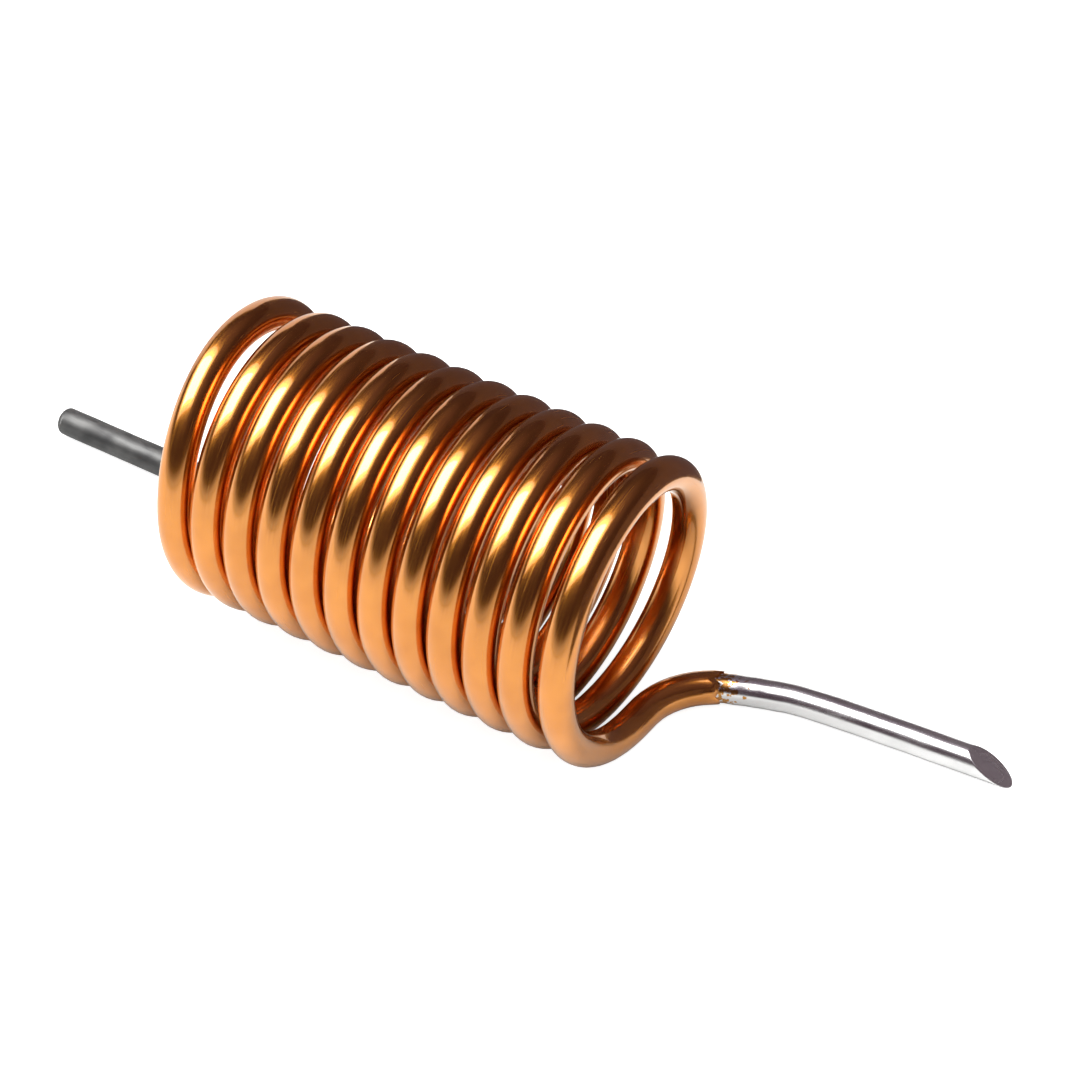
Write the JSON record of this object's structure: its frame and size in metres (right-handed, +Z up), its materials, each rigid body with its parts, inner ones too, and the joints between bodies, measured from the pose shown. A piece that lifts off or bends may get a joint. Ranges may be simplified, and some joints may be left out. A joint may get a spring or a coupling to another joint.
{
  "type": "air core inductor",
  "caption": "Air core inductor: a coil of enamelled copper wire wound without a former, with a tinned lead at each end for soldering.",
  "frame": {"origin": "on the surface that the coil lies on, under the middle of its overall length", "axes": "+X along the coil's axis towards the front lead, +Y towards the side where both leads lie, +Z up"},
  "size_m": [0.0326, 0.0092, 0.0092],
  "materials": {
    "enamelled_copper": "glossy enamel over copper",
    "tin": "bright tin"
  },
  "bodies": {
    "root": {"enamelled_wire": "enamelled_copper", "front_tinned_end": "tin", "rear_tinned_end": "tin"}
  },
  "joints": []
}
